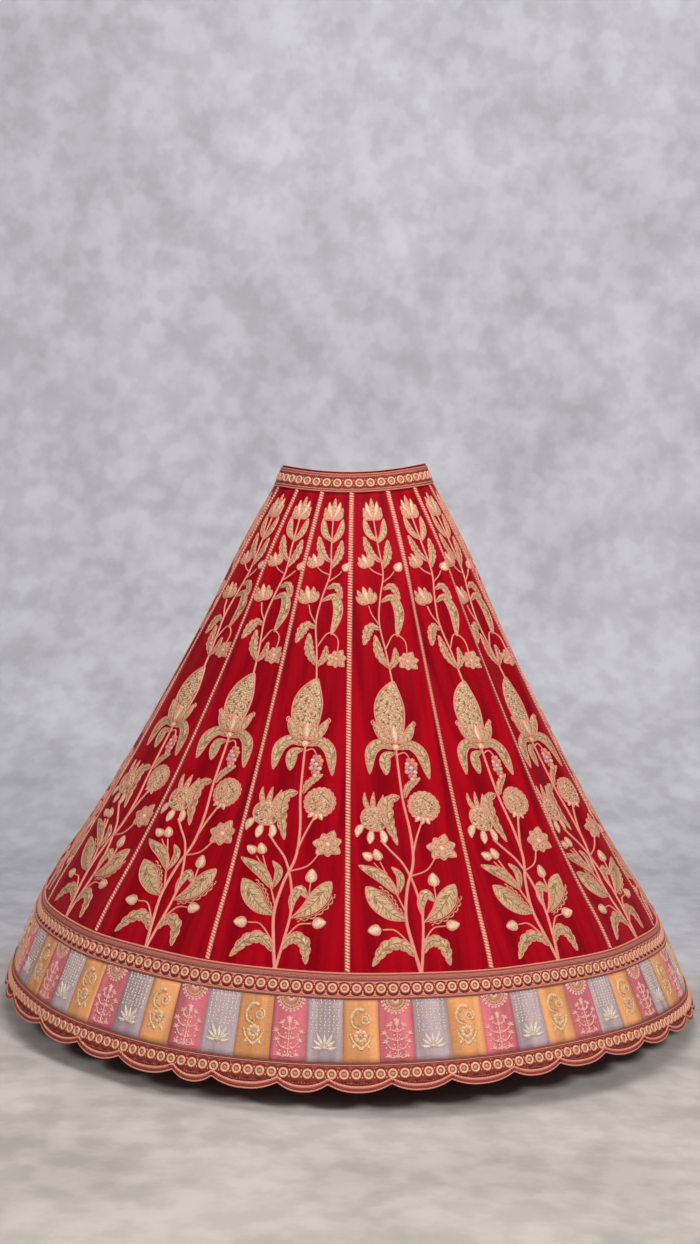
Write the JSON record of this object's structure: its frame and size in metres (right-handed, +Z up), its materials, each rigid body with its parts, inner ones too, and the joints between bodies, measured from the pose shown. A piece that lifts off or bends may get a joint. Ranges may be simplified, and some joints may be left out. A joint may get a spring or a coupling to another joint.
{
  "type": "lehenga skirt",
  "caption": "Flared panelled bridal lehenga skirt with braided seams, gold floral embroidery, a fitted waistband and a ring-lace, patchwork and scalloped hem border.",
  "frame": {"origin": "centre of the waist opening, halfway up the waistband, where the wearer holds the skirt up", "axes": "+Z up along the body, -Y towards the back of the skirt, +X towards the wearer's right"},
  "size_m": [1.3946, 1.3957, 1.0685],
  "materials": {
    "crimson_silk": "soft silk satin with a low sheen",
    "ring_lace": "maroon woven lace with rose gold rings",
    "rose_gold_braid": "twisted metallic thread braid",
    "patch_orange": "raw silk",
    "patch_pink": "raw silk",
    "patch_lilac": "raw silk",
    "antique_gold_thread": "couched metallic thread embroidery",
    "cream_gold_thread": "pale metallic thread embroidery"
  },
  "bodies": {
    "root": {"waistband": "crimson_silk", "waist_ring_lace": "ring_lace", "kali_01": "crimson_silk", "kali_02": "crimson_silk", "kali_03": "crimson_silk", "kali_04": "crimson_silk", "kali_05": "crimson_silk", "kali_06": "crimson_silk", "kali_07": "crimson_silk", "kali_08": "crimson_silk", "kali_09": "crimson_silk", "kali_10": "crimson_silk", "kali_11": "crimson_silk", "kali_12": "crimson_silk", "kali_13": "crimson_silk", "kali_14": "crimson_silk", "kali_15": "crimson_silk", "kali_16": "crimson_silk", "seam_braid_01": "rose_gold_braid", "seam_braid_02": "rose_gold_braid", "seam_braid_03": "rose_gold_braid", "seam_braid_04": "rose_gold_braid", "seam_braid_05": "rose_gold_braid", "seam_braid_06": "rose_gold_braid", "seam_braid_07": "rose_gold_braid", "seam_braid_08": "rose_gold_braid", "seam_braid_09": "rose_gold_braid", "seam_braid_10": "rose_gold_braid", "seam_braid_11": "rose_gold_braid", "seam_braid_12": "rose_gold_braid", "seam_braid_13": "rose_gold_braid", "seam_braid_14": "rose_gold_braid", "seam_braid_15": "rose_gold_braid", "seam_braid_16": "rose_gold_braid", "border_ring_lace": "ring_lace", "patchwork_band": "patch_orange", "scalloped_hem_lace": "ring_lace", "scallop_binding": "rose_gold_braid"}
  },
  "joints": []
}
